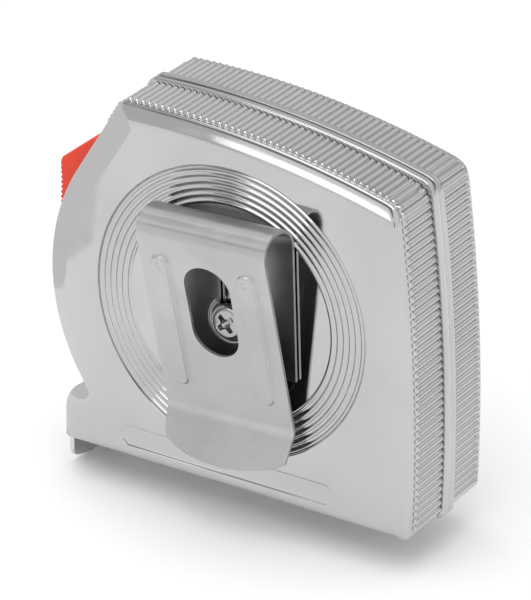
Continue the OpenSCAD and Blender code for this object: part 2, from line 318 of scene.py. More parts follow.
class Builder:
    """Collects points in mm, merging those that meet, and makes one mesh object from them."""

    def __init__(self):
        self.points, self.index, self.faces, self.mats = [], {}, [], []

    def at(self, p):
        key = (round(p[0], 5), round(p[1], 5), round(p[2], 5))
        if key not in self.index:
            self.index[key] = len(self.points)
            self.points.append(key)
        return self.index[key]

    def face(self, ids, mat=0):
        clean = [i for n, i in enumerate(ids) if i != ids[n - 1]]
        if len(set(clean)) == len(clean) and len(clean) > 2:
            self.faces.append(clean)
            self.mats.append(mat)

    def strip(self, a, b, closed=False, mat=0):
        n = len(a)
        for i in range(n if closed else n - 1):
            j = (i + 1) % n
            self.face([a[i], a[j], b[j], b[i]], mat)

    def tube(self, rings):
        for a, c in zip(rings, rings[1:]):
            self.strip(a, c, closed=True)

    def cup(self, rings):
        """A tube through the rings, and a face over the last one."""
        self.tube(rings)
        self.face(rings[-1])

    def cover(self, outer, cuts=()):
        """Triangles over the flat inside the ring outer, less the cuts."""
        flat = outer + [i for cut in cuts for i in cut]
        loops = [[(self.points[i][0], self.points[i][2]) for i in ids] for ids in (outer, *cuts)]
        for t in fill(loops[0], loops[1:]):
            self.face([flat[i] for i in t])

    def ladder(self, ring):
        """Faces across a ring whose second half runs back beside the first."""
        m = len(ring) // 2
        for i in range(m - 1):
            self.face([ring[i], ring[i + 1], ring[2 * m - 2 - i], ring[2 * m - 1 - i]])

    def build(self, name, materials, body, slot, sharp=40.0):
        mesh = bpy.data.meshes.new(name)
        mesh.from_pydata([[c * MM for c in p] for p in self.points], [], self.faces)
        for m in materials:
            mesh.materials.append(m)
        mesh.polygons.foreach_set("material_index", self.mats)
        bm = bmesh.new()
        bm.from_mesh(mesh)
        bmesh.ops.recalc_face_normals(bm, faces=bm.faces)
        bm.to_mesh(mesh)
        bm.free()
        mesh.polygons.foreach_set("use_smooth", [True] * len(mesh.polygons))
        mesh.set_sharp_from_angle(angle=math.radians(sharp))
        mesh.update()
        o = added(name, mesh)
        if body:
            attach(o, body)
        return o


def inside(p, loop):
    """True for each row of p that lies inside the closed loop of points."""
    x, y = p[:, 0], p[:, 1]
    hit = np.zeros(len(p), bool)
    a = np.asarray(loop)
    b = np.roll(a, -1, axis=0)
    for (x0, y0), (x1, y1) in zip(a, b):
        if y0 == y1:
            continue
        cross = ((y0 > y) != (y1 > y)) & (x < (x1 - x0) * (y - y0) / (y1 - y0) + x0)
        hit ^= cross
    return hit


def fill(outer, holes=(), free=()):
    """Triangles over the outer loop less its holes, as index triples into outer + holes + free points."""
    loops = [list(map(tuple, outer))] + [list(map(tuple, h)) for h in holes]
    points = [p for loop in loops for p in loop] + [tuple(p) for p in free]
    edges, start = [], 0
    for loop in loops:
        n = len(loop)
        edges += [(start + i, start + (i + 1) % n) for i in range(n)]
        start += n
    out = delaunay_2d_cdt([Vector(p) for p in points], edges, [], 0, 1e-6)
    if len(out[0]) != len(points):
        raise ValueError("the outlines cross or touch")
    tri = np.array([f for f in out[2] if len(f) == 3])
    co = np.array([(v[0], v[1]) for v in out[0]])
    mid = co[tri].mean(axis=1)
    keep = inside(mid, loops[0])
    for h in loops[1:]:
        keep &= ~inside(mid, h)
    order = {}
    for new, olds in enumerate(out[3]):
        order[new] = olds[0]
    return [[order[i] for i in t] for t in tri[keep].tolist()]


def arc(c, r, a0, a1, n):
    a = np.radians(np.linspace(a0, a1, n + 1))
    return np.column_stack([c[0] + r * np.cos(a), c[1] + r * np.sin(a)])


def circle(c, r, n):
    return arc(c, r, 0, 360, n)[:-1]


def show(node, mat):
    """Gives a CAD node that stays in view its finished material."""
    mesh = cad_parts[node].data
    mesh.materials.clear()
    mesh.materials.append(mat)


def soften(node, width, segments=2):
    """Rounds the edges of a CAD node that stays in view."""
    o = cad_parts[node]
    mod = o.modifiers.new("soft_edges", "BEVEL")
    mod.width = width * MM
    mod.segments = segments
    mod.limit_method = "ANGLE"
    mod.angle_limit = math.radians(35)
    mod.harden_normals = False
    for p in o.data.polygons:
        p.use_smooth = False


# ---------------------------------------------------------------- the case's outline

HALF_T = -FACE_Y
RIDGE_H, WALL = 0.45, 1.8
TOP_RIDGES, BACK_RIDGES, FLANK_RIDGES, STEPS = 42, 43, 5, 12
CORNER_CUT = STEPS + 1
CORNER_STEPS, CORNER_PULL, RIDGE_FORM = 38, 1.35, 0.8
WIDE_BEVEL = 1.28
FRONT_X = -30.7
SLOT_DEG = (152.0, 182.0)
SLOT_HALF = 4.2
MOUTH_Z, MOUTH_HALF = (2.3, 7.0), 8.4


class Outline:
    """The case's outline in X and Z, point by point.

    p is the place, v the direction it is lifted in, n the outward normal and g the ridge height there.
    f is the share of the bevel's inset, w the radius of a rounded edge and m how far the bevel replaces it.
    A corner is two points, the inset from which it is sharp, and whether its curve shrinks gradually.
    """

    def __init__(self):
        self.p, self.v, self.n, self.f, self.g, self.w, self.m = [], [], [], [], [], [], []
        self.corners, self.tag = [], []

    def add(self, pts, lifts, normals, share, ridge=None, tag="", round_edge=0.0, bevel=None):
        first = len(self.p)
        for i, p in enumerate(pts):
            self.p.append(p)
            self.v.append(lifts[i] if np.ndim(lifts) == 2 else lifts)
            self.n.append(normals[i])
            self.f.append(share[i] if np.ndim(share) else share)
            self.g.append(0.0 if ridge is None else ridge[i])
            self.w.append(round_edge)
            self.m.append(bevel[i] if bevel is not None else 0.0 if round_edge else 1.0)
            self.tag.append(tag)
        return first, len(self.p) - 1

    def done(self):
        for key in ("p", "v", "n", "f", "g", "w", "m"):
            setattr(self, key, np.array(getattr(self, key), float))

    def edge(self, depth, d):
        """How far each point moves inward at a depth: by its own rounded edge, its share of d, or a mix."""
        r = np.maximum(self.w, 1e-6)
        h = np.clip((depth - (HALF_T - r)) / r, 0.0, 1.0)
        return (1 - self.m) * r * (1 - np.sqrt(1 - h * h)) + self.m * self.f * d

    def inset(self, lift, e):
        """The outline lifted by lift and moved inward by e at each point, with sharp corners cleaned up."""
        base = self.p + self.v * lift
        q = base - self.n * e[:, None]
        n = len(q)
        for a, b, radius, gradual in self.corners:
            if max(e[a], e[b]) < radius:
                continue
            na, nb = self.n[a], self.n[b]
            both = np.array([na, nb])
            m = np.linalg.solve(both, [base[a] @ na - e[a], base[b] @ nb - e[b]])
            ta, tb = np.array([-na[1], na[0]]), np.array([-nb[1], nb[0]])
            ends = (m, m)
            if gradual:
                sharp = np.linalg.solve(both, [base[a] @ na, base[b] @ nb])
                reach_a, reach_b = np.linalg.norm(sharp - base[a]), np.linalg.norm(base[b] - sharp)
                fade = max(0.0, 1 - (e[a] + e[b]) / 2 / min(reach_a, reach_b))
                if fade > 0:
                    ends = (m - ta * reach_a * fade, m + tb * reach_b * fade)
            for k in range(a, b + 1):
                u = (k - a) / (b - a)
                q[k % n] = ends[0] * (1 - u) ** 2 + m * 2 * u * (1 - u) + ends[1] * u**2
            for step, t, start, sign, end in ((-1, ta, a, 1, ends[0]), (1, tb, b, -1, ends[1])):
                k = start
                for _ in range(60):
                    k = (k + step) % n
                    if sign * ((q[k] - end) @ t) > 0:
                        q[k] = end
                    else:
                        break
        return q


def normal_of(angle):
    """The unit vector at an angle in degrees from +X."""
    a = math.radians(angle)
    return np.array([math.cos(a), math.sin(a)])


def bow(p, q, rise, n):
    """n steps from p to q along a shallow bow: points, outward normals and the way covered, 0 to 1."""
    p, q = np.array(p), np.array(q)
    d = (q - p) / np.linalg.norm(q - p)
    right = np.array([d[1], -d[0]])
    t = np.linspace(0, 1, n + 1)
    pts = p + (q - p) * t[:, None] + right * (4 * rise * t * (1 - t))[:, None]
    tangent = (q - p) + right * (4 * rise * (1 - 2 * t))[:, None]
    tangent /= np.linalg.norm(tangent, axis=1)[:, None]
    return pts, np.column_stack([tangent[:, 1], -tangent[:, 0]]), t


def case_outline():
    """The case's outline, from the rear bottom corner over the back, top, flank, nose and mouth."""
    o = Outline()
    low, low_edge, back_edge = 0.5, 1.45, 1.0
    corner = arc((31.5, 1.2), 1.2, -90, -1.4, 8)
    normals = [normal_of(a) for a in np.linspace(-90, -1.4, 9)]
    c1 = o.add(corner[:-1], (1, 0), normals[:-1], low, round_edge=back_edge)
    pts, nrm, t = bow((32.7, 1.2), (29.2, 54.4), 1.2, BACK_RIDGES * STEPS)
    pts, nrm, t = pts[:-CORNER_CUT], nrm[:-CORNER_CUT], t[:-CORNER_CUT]
    ridge = np.abs(np.sin(math.pi * t * BACK_RIDGES)) ** RIDGE_FORM
    back = o.add(pts, np.column_stack([np.ones_like(t), t]), nrm, 1.0, ridge, "back", back_edge)
    o.corners.append((c1[0], back[0], 1.2, False))
    top_pts, top_nrm, s = bow((28, 55.3), (-19.75, 60.6), 1.85, TOP_RIDGES * STEPS)
    top_pts, top_nrm, s = top_pts[CORNER_CUT:], top_nrm[CORNER_CUT:], s[CORNER_CUT:]
    a, b = pts[-1], top_pts[0]
    ta, tb = np.array([-nrm[-1][1], nrm[-1][0]]), np.array([-top_nrm[0][1], top_nrm[0][0]])
    u = np.linspace(0, 1, CORNER_STEPS)[1:-1, None]
    h1, h2 = a + ta * CORNER_PULL, b - tb * CORNER_PULL
    curve = a * (1 - u) ** 3 + 3 * h1 * u * (1 - u) ** 2 + 3 * h2 * u**2 * (1 - u) + b * u**3
    first, last = (math.atan2(v[1], v[0]) for v in (nrm[-1], top_nrm[0]))
    angles = np.linspace(first, last, CORNER_STEPS)[1:-1]
    ridge = 0.95 * np.abs(np.sin(math.pi * 3 * u[:, 0])) ** RIDGE_FORM
    o.add(curve, (1, 1), [np.array([math.cos(x), math.sin(x)]) for x in angles], 1.0, ridge,
          round_edge=back_edge, bevel=u[:, 0] ** 2 * (3 - 2 * u[:, 0]))
    ridge = np.abs(np.sin(math.pi * s * TOP_RIDGES)) ** RIDGE_FORM
    share = 1 + (WIDE_BEVEL - 1) * np.clip((s - 0.85) / 0.15, 0, 1) ** 2
    top = o.add(top_pts, np.column_stack([1 - s, np.ones_like(s)]), top_nrm, share, ridge, "top")
    o.corners.append((back[1], top[0], 0.0, True))
    left = arc((-19.6, 59.4), 1.2, 101, 147, 7)
    c3 = o.add(left, (0, 1), [normal_of(x) for x in np.linspace(101, 147, 8)], WIDE_BEVEL)
    o.corners.append((top[1], c3[1], 1.2, False))
    pts, nrm, u = bow((-20.72, 59.88), (-22.98, 55.96), 0.0, FLANK_RIDGES * STEPS)
    ridge = 0.8 * np.abs(np.sin(math.pi * u * FLANK_RIDGES)) ** RIDGE_FORM
    lifts = np.column_stack([np.zeros_like(u), 1 - 0.2 * u])
    o.add(pts, lifts, [normal_of(149)] * len(pts), WIDE_BEVEL, ridge, "flank")
    p, q = pts[-1], AXIS + NOSE_R * normal_of(150)
    line = np.array([p + (q - p) * k for k in (0.25, 0.5, 0.75)])
    o.add(line, [(0, 0.6), (0, 0.4), (0, 0.2)], [normal_of(149)] * 3, [1.26, 1.23, 1.2])
    meet = 214.55
    degs = sorted(set([*np.arange(150, 214, 1.0), *SLOT_DEG]))
    share = [1 + 0.17 * max(0.0, (178 - x) / 28) ** 1.5 for x in degs]
    nose = [AXIS + NOSE_R * normal_of(x) for x in degs]
    o.add(nose, (0, 0), [normal_of(x) for x in degs], share, tag="nose")
    corner = AXIS + NOSE_R * normal_of(meet)
    na, nb = normal_of(meet), normal_of(116.0)
    inner = (na + nb) / (1 + na @ nb)
    o.add([corner], (0, 0), [inner], 1.0)
    lip_degs = [*np.linspace(117, 154, 9), 160.896, 164.0, 168.0, 172.0, 176.0, 180.0]
    lip_top = [np.array((-25.2, 5.2)) + 5.5 * normal_of(x) for x in lip_degs]
    o.add(lip_top, (0, 0), [normal_of(x) for x in lip_degs], 0.94, tag="lip")
    front = np.array([[FRONT_X, z] for z in (4.0, 3.0, MOUTH_Z[0], 1.0)])
    f = o.add(front, (0, 0), [normal_of(180)] * 4, 0.94, tag="lip")
    low_corner = arc((FRONT_X + 1, 1), 1, 180, 270, 8)[1:]
    normals = [normal_of(x) for x in np.linspace(180, 270, 9)[1:]]
    c5 = o.add(low_corner, (0, 0), normals, low, round_edge=low_edge)
    o.corners.append((f[1], c5[1], 1.0, False))
    floor = np.array([[x, 0.0] for x in np.linspace(-27, 30, 20)])
    lifts = [(k, 0) for k in np.linspace(0.03, 0.97, 20)]
    o.add(floor, lifts, [normal_of(-90)] * 20, low, round_edge=low_edge)
    o.done()
    return o


# Rows of the shell's skin, parting plane to flat side: depth, lift, inset and share of the ridge.
ROWS = [
    (0.0, -0.25, 0.06, 0), (0.05, -0.2, 0.03, 0), (0.1, 0.3, 0, 0), (0.17, 0.35, 0, 0), (1.26, 0.35, 0, 0),
    (1.4, 0.32, 0, 0), (1.47, 0.22, 0, 0), (1.51, -0.3, 0, 0), (1.54, -0.7, 0, 0), (1.66, -0.72, 0, 0),
    (1.7, -0.45, 0, 0.5), (1.78, -0.45, 0, 0.85), (1.92, -0.45, 0, 0.97), (2.2, -0.45, 0, 1),
    (2.6, -0.45, 0, 1), (SLOT_HALF, -0.45, 0, 1),
    (MOUTH_HALF, -0.45, 0, 1), (8.6, -0.45, 0, 1), (8.8, -0.45, 0, 1.12), (9.0, -0.45, 0, 1.22),
    (9.18, -0.45, 0, 1.2), (9.32, -0.45, 0, 1.0), (9.42, -0.45, 0, 0.62), (9.48, -0.45, 0, 0.2),
    (9.5, -0.45, 0, 0),
    (9.62, -0.45, 0, 0), (9.88, -0.45, 0, 0), (10.0, -0.45, 0.03, 0), (10.1, -0.45, 0.12, 0),
    (10.18, -0.45, 0.27, 0), (10.29, -0.45, 0.56, 0), (10.42, -0.45, 0.93, 0), (10.55, -0.45, 1.3, 0),
    (10.665, -0.45, 1.66, 0), (10.765, -0.45, 2.0, 0), (10.85, -0.45, 2.34, 0), (10.915, -0.45, 2.66, 0),
    (10.96, -0.45, 2.95, 0), (10.988, -0.45, 3.2, 0), (11.0, -0.45, 3.4, 0),
]
INNER_ROWS = [0.0, SLOT_HALF, MOUTH_HALF, HALF_T - WALL]
DIAL_R, DIAL_STEPS, DIAL_DEPTH = 24.03, 288, 0.3
RINGS = [18.2 + 1.06 * i for i in range(6)]
PANEL_WALL = ((0.05, 0.01), (0.16, 0.09), (0.28, 0.17), (0.38, 0.18))
SCREW_HOLE = ((2.67, 0.02), (2.65, 0.1), (2.65, WALL - 0.06), (1.2, WALL - 0.06))
PANEL = [(-20.4, 4.1), (-18.5, 2.15), (17.7, 2.15), (19.6, 4.1), (17.7, 5.9), (-18.5, 5.9)]


def dial_rows():
    """Radius and depth from the dial's rim to its flat middle."""
    rows = [(DIAL_R + 0.12, 0.0), (DIAL_R + 0.03, 0.0), (DIAL_R - 0.02, 0.02), (DIAL_R - 0.08, 0.12)]
    for r in np.arange(DIAL_R - 0.14, 17.66, -0.075):
        bump = 0.0
        for c in RINGS:
            x = abs(r - c) / 0.42
            if x < 1:
                bump = max(bump, math.cos(x * math.pi / 2) ** 1.6)
        rows.append((r, DIAL_DEPTH * (1 - bump)))
    return rows + [(17.6, DIAL_DEPTH), (17.4, DIAL_DEPTH)]


def shrink(loop, d):
    """A convex loop moved inward by d."""
    p = np.array(loop, float)
    a, b = np.roll(p, 1, axis=0), np.roll(p, -1, axis=0)
    out = []
    for i in range(len(p)):
        u = (p[i] - a[i]) / np.linalg.norm(p[i] - a[i])
        v = (b[i] - p[i]) / np.linalg.norm(b[i] - p[i])
        n0, n1 = np.array([-u[1], u[0]]), np.array([-v[1], v[0]])
        out.append(np.linalg.solve(np.array([n0, n1]), [p[i] @ n0 + d, p[i] @ n1 + d]))
    return np.array(out)


def screw_centres():
    """Centres of the case screws in X and Z, in mm, from the CAD node's own points."""
    co = np.array([v.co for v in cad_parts["case_screws"].data.vertices]) / MM
    left = co[co[:, 0] < 5]
    right = co[co[:, 0] > 5]
    groups = [left, right[right[:, 2] > 30], right[right[:, 2] < 30]]
    return [((g[:, 0].min() + g[:, 0].max()) / 2, (g[:, 2].min() + g[:, 2].max()) / 2) for g in groups]


def make_shell(name, side, node, holes):
    """One half of the case: ridged rim, seam lip, bevel, flat side with dial and panel, and openings."""
    out = case_outline()
    n = len(out.p)
    b = Builder()
    sign = 1 if side > 0 else -1

    def row_ids(points, y):
        return [b.at((p[0], sign * y, p[1])) for p in points]

    skin = []
    for y, lift, d, g in ROWS:
        pts = out.inset(lift, out.edge(y, d)) + out.n * (out.g * g * RIDGE_H)[:, None]
        skin.append(row_ids(pts, y))
    core = [row_ids(out.inset(-RIDGE_H, np.full(n, WALL)), y) for y in INNER_ROWS]

    ys = [r[0] for r in ROWS]
    angle = np.degrees(np.arctan2(out.p[:, 1] - AXIS[1], out.p[:, 0] - AXIS[0])) % 360
    tag = np.array(out.tag)
    in_slot = (tag == "nose") & (angle > SLOT_DEG[0] - 1e-6) & (angle < SLOT_DEG[1] + 1e-6)
    in_mouth = (tag == "lip") & (out.p[:, 1] > MOUTH_Z[0] - 1e-6) & (out.p[:, 1] < MOUTH_Z[1] + 0.01)

    def gap(i, depth):
        j = (i + 1) % n
        if in_slot[i] and in_slot[j]:
            return depth < SLOT_HALF - 1e-6
        if in_mouth[i] and in_mouth[j]:
            return depth < MOUTH_HALF - 1e-6
        return False

    bands = [*zip(skin, skin[1:], ys), *zip(core, core[1:], INNER_ROWS), (skin[0], core[0], 0.0)]
    for row, following, depth in bands:
        for i in range(n):
            j = (i + 1) % n
            if not gap(i, depth):
                b.face([row[i], row[j], following[j], following[i]])
    for mask, depth in ((in_slot, SLOT_HALF), (in_mouth, MOUTH_HALF)):
        ks = [k for k in range(n) if mask[k]]
        r, c = ys.index(depth), INNER_ROWS.index(depth)
        for i, j in zip(ks, ks[1:]):
            b.face([skin[r][i], skin[r][j], core[c][j], core[c][i]])
        for k in (ks[0], ks[-1]):
            b.face([skin[q][k] for q in range(r + 1)] + [core[q][k] for q in range(c, -1, -1)])

    def cap(loop_ids, y, cuts):
        """Fills the flat at depth y inside the loop, less the cuts, each a list of points in X and Z."""
        ids = []
        for i in loop_ids:
            if not ids or ids[-1] != i:
                ids.append(i)
        if ids[0] == ids[-1]:
            ids.pop()
        cut_ids = [row_ids(cut, y) for cut in cuts]
        b.cover(ids, cut_ids)
        return cut_ids

    rows = dial_rows()
    cuts = [circle(DIAL, rows[0][0], DIAL_STEPS), np.array(PANEL)]
    cuts += [circle(c, 2.71, 48) for c in holes]
    ring_ids = cap(skin[-1], HALF_T, cuts)
    dial = [row_ids(circle(DIAL, r, DIAL_STEPS), HALF_T - depth) for r, depth in rows[1:]]
    b.cup([ring_ids[0]] + dial)
    panel = [row_ids(shrink(PANEL, d), HALF_T - depth) for d, depth in PANEL_WALL]
    b.cup([ring_ids[1]] + panel)
    for ids, c in zip(ring_ids[2:], holes):
        b.cup([ids] + [row_ids(circle(c, r, 48), HALF_T - depth) for r, depth in SCREW_HOLE])
    cap(core[-1], HALF_T - WALL, [])
    o = b.build(name, [plated], "case", "plated_case", sharp=50.0)
    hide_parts(node)
    return o


make_shell("case_clip_half", -1, "rear_shell", [])
make_shell("case_label_half", 1, "front_shell", screw_centres())

# ---------------------------------------------------------------- the belt clip

screw_low, screw_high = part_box("clip_screw")
CLIP_X = (screw_low.x + screw_high.x) / 2 / MM
CLIP_Z = (screw_low.z + screw_high.z) / 2 / MM
CLIP_TURN = math.radians(2.4)
CLIP_T, CLIP_HALF = 0.5, 11.35


def turned(x, y, z):
    """Turns a point of the upright clip about its screw, by the angle that the clip sits at."""
    c, s = math.cos(CLIP_TURN), math.sin(CLIP_TURN)
    dz = z - CLIP_Z
    return (CLIP_X + x * c - dz * s, y, CLIP_Z + x * s + dz * c)


def rounded(points, radii):
    """A polyline in Y and Z with its corners rounded, and the length along it at each point."""
    p = [np.array(v, float) for v in points]
    pts = [p[0]]
    for i in range(1, len(p) - 1):
        r = radii.get(i, 0.0)
        if r <= 0:
            pts.append(p[i])
            continue
        u = (p[i - 1] - p[i]) / np.linalg.norm(p[i - 1] - p[i])
        v = (p[i + 1] - p[i]) / np.linalg.norm(p[i + 1] - p[i])
        half = math.acos(max(-1, min(1, u @ v))) / 2
        cut = r / math.tan(half)
        a, b = p[i] + u * cut, p[i] + v * cut
        for k in np.linspace(0, 1, 9):
            pts.append(a * (1 - k) ** 2 + 2 * p[i] * k * (1 - k) + b * k**2)
    pts.append(p[-1])
    pts = np.array(pts)
    s = np.concatenate([[0], np.cumsum(np.linalg.norm(np.diff(pts, axis=0), axis=1))])
    return pts, s


FOLD = [(-11.25, 21.6), (-11.25, 44.4), (-11.45, 45.5), (-12.15, 46.5), (-13.4, 47.35), (-14.9, 47.78),
        (-16.5, 47.8), (-17.9, 47.3), (-18.85, 46.35), (-19.3, 44.8), (-12.1, 13.2), (-15.1, 5.8)]
FOLD_RADII = {1: 0.8, 2: 0.8, 3: 0.8, 4: 0.9, 5: 1.0, 6: 1.0, 7: 0.8, 8: 0.8, 9: 0.8, 10: 3.2}
PITCH, RIB_PITCH = 0.36, (0.12, 0.24)


def make_clip():
    """The folded strip: base, fold and outer leaf, with window, keyhole, pressed ribs and screw seat."""
    pts, s = rounded(FOLD, FOLD_RADII)
    length = s[-1]
    tangents = np.gradient(pts, s, axis=0)
    tangents /= np.linalg.norm(tangents, axis=1)[:, None]

    def at_z(z, outer):
        """Length along the strip at height z, on the outer or the inner leaf."""
        top = int(np.argmax(pts[:, 1]))
        part = slice(top, None) if outer else slice(0, top + 1)
        zz, ss = pts[part, 1], s[part]
        order = np.argsort(zz)
        return float(np.interp(z, zz[order], ss[order]))

    def place(u, v, lift):
        """The point at u across and v along the strip, lift above its middle surface on the outer side."""
        y, z = np.interp(v, s, pts[:, 0]), np.interp(v, s, pts[:, 1])
        ty, tz = np.interp(v, s, tangents[:, 0]), np.interp(v, s, tangents[:, 1])
        k = math.hypot(ty, tz)
        return turned(u, y - lift * tz / k, z + lift * ty / k)

    tip = [(11.0, 10.8), (10.7, 8.6), (9.1, 7.75), (6.6, 6.85), (3.3, 6.15), (0, 5.85), (-3.3, 6.0),
           (-5.9, 6.4), (-8.6, 7.2), (-10.6, 8.3), (-11.1, 9.3)]
    side = CLIP_HALF
    right = [(side, v) for v in np.arange(0.0, at_z(12.5, True), 0.5)]
    left = [(-side, v) for v in np.arange(at_z(12.0, True), 0.0, -0.5)]
    end = [(x, at_z(z, True)) for x, z in tip]
    dense = []
    for a, b in zip(end, end[1:]):
        dense += [(a[0] + (b[0] - a[0]) * k / 4, a[1] + (b[1] - a[1]) * k / 4) for k in range(4)]
    bottom = [(x, 0.0) for x in np.arange(-side, side, 0.5)]
    outer = right + dense + [end[-1]] + left + bottom
    outer = [p for i, p in enumerate(outer) if math.dist(p, outer[i - 1]) > 1e-3]
    w0, w1 = at_z(36.95, True), at_z(28.85, True)
    window = [tuple(p) for c, a in ((w0, 180), (w1, 0)) for p in arc((0, c), 4.08, a, a + 180, 28)]
    narrow, wide = at_z(CLIP_Z, False), at_z(39.6, False)
    keyhole = [tuple(p) for p in arc((0, narrow), 1.9, 180, 360, 16)]
    keyhole += [tuple(p) for p in arc((0, wide), 3.3, math.degrees(math.asin(-2.6 / 3.3)), 232, 40)]
    free = []
    rib = [(-7.9, at_z(17.9, True), at_z(41.4, True)), (7.4, at_z(17.9, True), at_z(41.4, True))]
    for v in np.arange(0.3, length, PITCH):
        for u in np.arange(-side + 0.3, side - 0.1, PITCH):
            free.append((u + (0.09 if int(v / PITCH) % 2 else -0.09), v))
    free = np.array(free)
    for x, v1, v0 in rib:
        lane = (np.abs(free[:, 0] - x) < 2.0) & (free[:, 1] > v0 - 2) & (free[:, 1] < v1 + 2)
        free = free[~lane]
        across, along = np.arange(-1.92, 1.93, RIB_PITCH[0]), np.arange(v0 - 1.95, v1 + 1.95, RIB_PITCH[1])
        lane_pts = [(x + du, v) for v in along for du in across]
        free = np.vstack([free, lane_pts])
    keep = inside(free, outer) & ~inside(free, window) & ~inside(free, keyhole)
    borders = np.array(outer + window + keyhole)
    far = np.ones(len(free), bool)
    for q in borders:
        far &= (np.abs(free[:, 0] - q[0]) > 0.14) | (np.abs(free[:, 1] - q[1]) > 0.14)
    free = free[keep & far]

    def press(u, v):
        """Height of the pressed ribs and of the small round dimple at the top of each."""
        h = 0.0
        for x, v1, v0 in rib:
            nearest = min(max(v, v0 + 1.35), v1 - 1.35)
            d = math.hypot(u - x, v - nearest)
            e = (1.5 - d) / 0.28
            if e > 0:
                k = min(1.0, e)
                h = max(h, 0.55 * k * k * (3 - 2 * k))
            d = math.hypot(u - x, v - (v0 + 1.5))
            if d < 0.8:
                h += 0.3 * math.cos(d / 0.8 * math.pi / 2) ** 2
        return h

    flat = [tuple(p) for p in outer] + window + keyhole + [tuple(p) for p in free]
    tris = fill(outer, [window, keyhole], free)
    b = Builder()
    half = CLIP_T / 2
    top, under = [], []
    for u, v in flat:
        h = press(u, v)
        top.append(b.at(place(u, v, -(half + h))))
        under.append(b.at(place(u, v, half - h * 0.6)))
    for t in tris:
        b.face([top[i] for i in t])
        # The under side takes the darker copy of the clip steel, painted shade between the leaves.
        b.face([under[i] for i in reversed(t)], 1)
    start = 0
    for loop in (outer, window, keyhole):
        n = len(loop)
        mid = [b.at(place(u, v, 0.0)) for u, v in loop]
        b.strip([top[start + i] for i in range(n)], mid, closed=True)
        b.strip(mid, [under[start + i] for i in range(n)], closed=True)
        start += n
    seat = []
    base = -HALF_T - CLIP_T
    for r, y in ((3.15, 0.02), (3.2, -0.3), (3.35, -0.42), (3.6, -0.45),
                 (3.82, -0.38), (3.95, -0.2), (4.05, 0.02)):
        seat.append([b.at(turned(r * math.cos(a), base + y, CLIP_Z + r * math.sin(a)))
                     for a in np.radians(np.linspace(127, 413, 72))])
    for a, c in zip(seat, seat[1:]):
        b.strip(a, c)
    b.strip(seat[-1], seat[0])
    b.face([ring[0] for ring in seat])
    b.face([ring[-1] for ring in reversed(seat)])
    o = b.build("belt_clip", [satin, satin_painted_shade], None, "clip_steel", sharp=55.0)
    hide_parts("clip_base", "clip_leaf")
    a = Vector(turned(0, -15.77, 47.8)) * MM
    c = Vector(turned(0, -17.04, 47.61)) * MM
    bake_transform(o)


make_clip()

# ---------------------------------------------------------------- screws


def make_screw_head(name, centre, y0, outward, radius, height, shank, shank_len, node, turn=0.0):
    """A pan head with a cross recess and a short shank, its head outward from the plane y0."""
    b = Builder()

    def level(points, h):
        return [b.at((centre[0] + p[0], y0 + outward * h, centre[1] + p[1])) for p in points]

    profile = [(radius - 0.15, 0.0), (radius, 0.15)]
    profile += [(radius * k, height * h)
                for k, h in ((1, 0.45), (0.97, 0.68), (0.89, 0.84), (0.78, 0.95), (0.68, 1))]
    rings = [level(circle((0, 0), r, 64), h) for r, h in profile]
    b.tube(rings)
    arm, slot = radius * 0.6, radius * 0.17
    cross = []
    for q in range(4):
        base = math.radians(45 + 90 * q) + turn
        along = np.array([math.cos(base), math.sin(base)])
        side = np.array([-math.sin(base), math.cos(base)])
        for t, w in ((slot * 1.5, -slot), (arm * 0.9, -slot * 0.9), (arm, -slot * 0.45), (arm, slot * 0.45),
                     (arm * 0.9, slot * 0.9), (slot * 1.5, slot)):
            cross.append(along * t + side * w)
    cross = np.array(cross)
    last = level(cross, height)
    b.cover(rings[-1], [last])
    recess = ((0.95, 0.06), (0.88, height * 0.6), (0.6, height * 0.85), (0.2, height * 0.92))
    b.cup([last] + [level(cross * k, height - depth) for k, depth in recess])
    steps = ((shank, 0.0), (shank, -shank_len), (shank * 0.6, -shank_len - 0.3))
    b.cup([rings[0]] + [level(circle((0, 0), r, 64), h) for r, h in steps])
    o = b.build(name, [screw_steel], "case", "screw_steel", sharp=35.0)
    if node:
        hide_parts(node)
    return o


make_screw_head("clip_screw_pan", (CLIP_X, CLIP_Z), FACE_Y - CLIP_T - 0.01, -1, 2.9, 1.6, 1.5, 9.0,
                "clip_screw", turn=-CLIP_TURN)
case_screws_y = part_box("case_screws")[1].y / MM - 1.7
for i, c in enumerate(screw_centres()):
    o = make_screw_head(
        f"case_screw_{i + 1}", c, case_screws_y, 1, 2.5, 1.62, 1.1, 14.6, None, turn=0.3 + i
    )
    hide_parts("case_screws")

# ---------------------------------------------------------------- the lock's button


